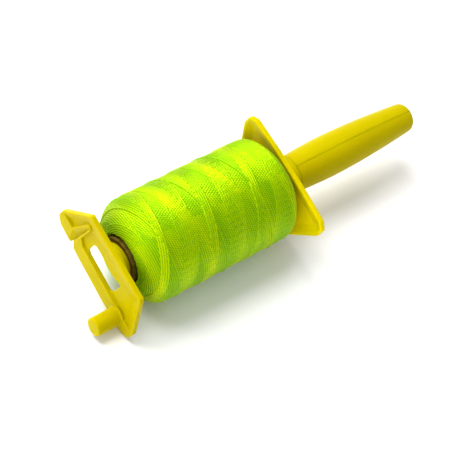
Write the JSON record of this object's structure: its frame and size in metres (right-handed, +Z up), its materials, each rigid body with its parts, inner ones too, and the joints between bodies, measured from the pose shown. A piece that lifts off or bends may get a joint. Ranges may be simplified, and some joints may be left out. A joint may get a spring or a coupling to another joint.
{
  "type": "hand line reel",
  "caption": "Hand reel with braided line wound on a cardboard core between two moulded plates, with a crank peg, a line notch and a hollow handle that turns on an axle.",
  "frame": {"origin": "centre of the bounding box at the surface that the reel lies on", "axes": "+X along the spool axis from the crank peg towards the handle, +Z up, +Y to the side away from the crank peg; the wound line and one corner of the front plate rest on the surface"},
  "size_m": [0.3079, 0.108, 0.0805],
  "materials": {
    "yellow_plastic": "satin moulded",
    "cardboard_core": "spiral wound paper",
    "braided_line": "braided synthetic",
    "steel": "zinc plated",
    "nylon": "natural nylon"
  },
  "bodies": {
    "reel": {"front_plate": "yellow_plastic", "rear_plate": "yellow_plastic", "spindle": "yellow_plastic", "core_tube": "cardboard_core", "line_pack": "braided_line", "axle": "steel", "end_washer": "steel", "retaining_ring": "steel"},
    "handle": {"handle_shell_upper": "yellow_plastic", "handle_shell_lower": "yellow_plastic", "front_bush": "nylon", "rear_bush": "nylon", "thrust_washer": "yellow_plastic"}
  },
  "joints": [
    {"name": "reel_spin", "type": "hinge", "parent": "reel", "child": "handle", "pos_m": [0.03595, 0, 0.04025], "axis": [1, 0, 0], "continuous": true}
  ]
}
